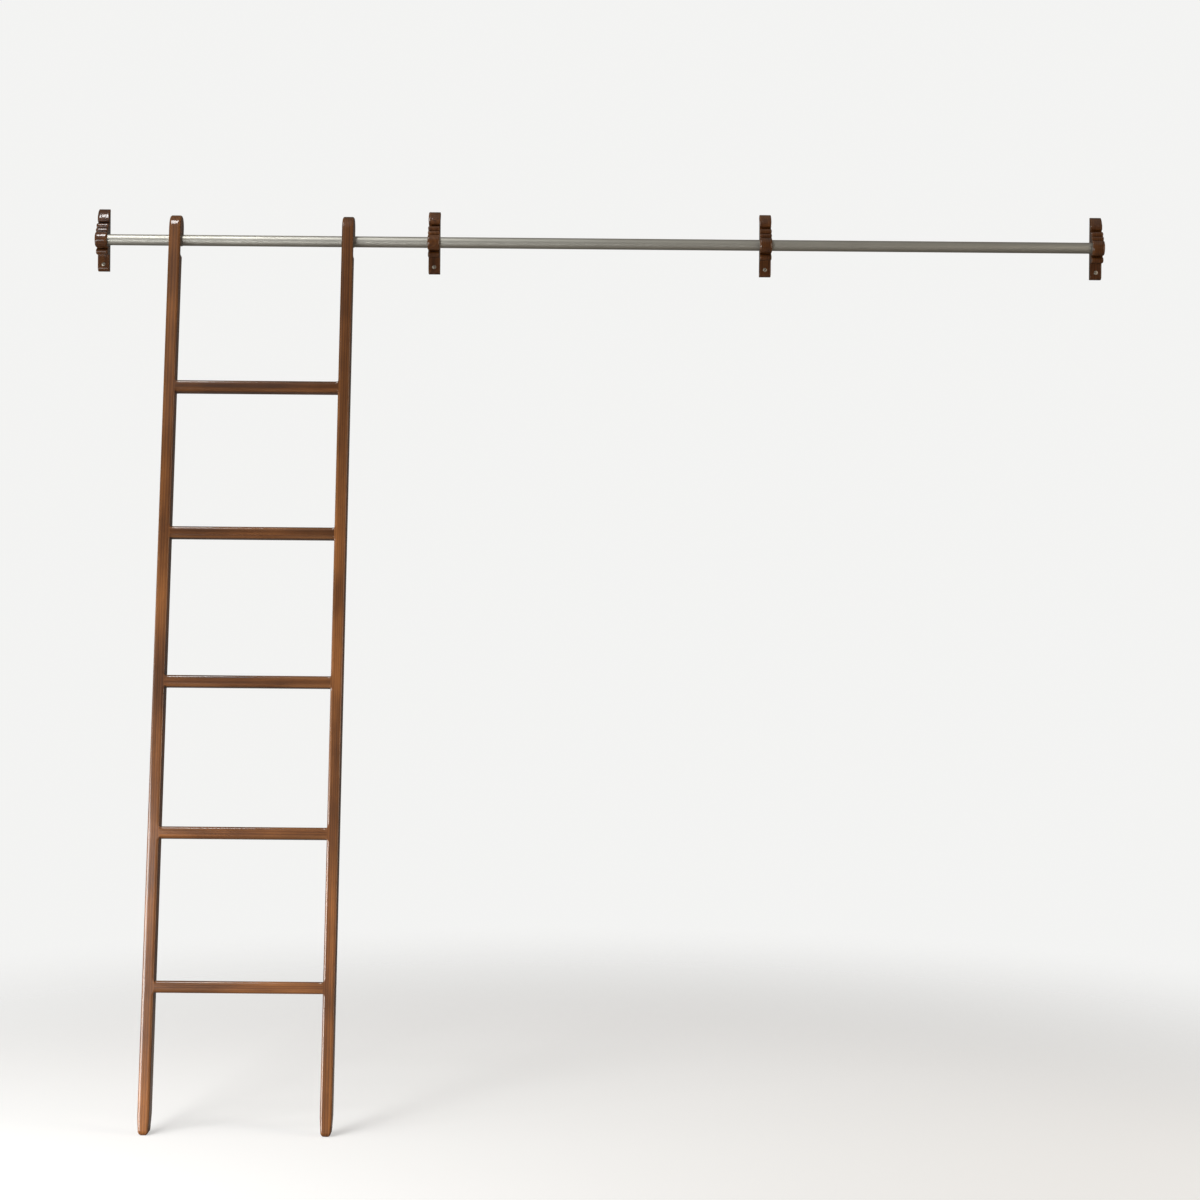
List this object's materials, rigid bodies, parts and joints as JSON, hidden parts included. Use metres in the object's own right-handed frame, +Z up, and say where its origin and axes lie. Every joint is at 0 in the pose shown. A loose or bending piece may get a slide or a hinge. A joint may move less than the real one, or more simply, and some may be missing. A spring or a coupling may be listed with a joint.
{
  "type": "library ladder",
  "caption": "Wooden hook-on library ladder leaning on a round steel rail that carved wall brackets carry along the front of a bookcase.",
  "frame": {"origin": "on the floor, centred under the whole assembly: midway along the rail, and midway between the ladder's toes and the tips of the bracket screws", "axes": "+X along the rail to the right, +Y towards the bookcase, +Z up"},
  "size_m": [2.299, 0.4438, 2.033],
  "materials": {
    "ladder_wood": "satin stained hardwood",
    "bracket_wood": "glossy dark stained hardwood",
    "plug_wood": "satin stained hardwood, end grain",
    "tube_steel": "satin brushed",
    "screw_steel": "dull zinc"
  },
  "bodies": {
    "brackets": {"left_end_bracket": "bracket_wood", "left_middle_bracket": "bracket_wood", "right_middle_bracket": "bracket_wood", "right_end_bracket": "bracket_wood", "lower_bracket_screws": "screw_steel", "upper_bracket_screws": "screw_steel", "bracket_plugs": "plug_wood"},
    "rail": {"rail_tube": "tube_steel"},
    "ladder": {"left_stile": "ladder_wood", "right_stile": "ladder_wood", "left_hook": "ladder_wood", "right_hook": "ladder_wood", "left_hook_dowels": "plug_wood", "right_hook_dowels": "plug_wood", "rung_1": "ladder_wood", "rung_2": "ladder_wood", "rung_3": "ladder_wood", "rung_4": "ladder_wood", "rung_5": "ladder_wood", "left_rung_screws": "screw_steel", "right_rung_screws": "screw_steel", "left_rung_plugs": "plug_wood", "right_rung_plugs": "plug_wood"}
  },
  "joints": [
    {"name": "ladder_swing", "type": "hinge", "parent": "brackets", "child": "rail", "pos_m": [0, 0.152, 1.96], "axis": [-1, 0, 0], "range_deg": [0, 45]},
    {"name": "ladder_slide", "type": "slide", "parent": "rail", "child": "ladder", "axis": [1, 0, 0], "range_m": [-0.14, 0.166]}
  ]
}
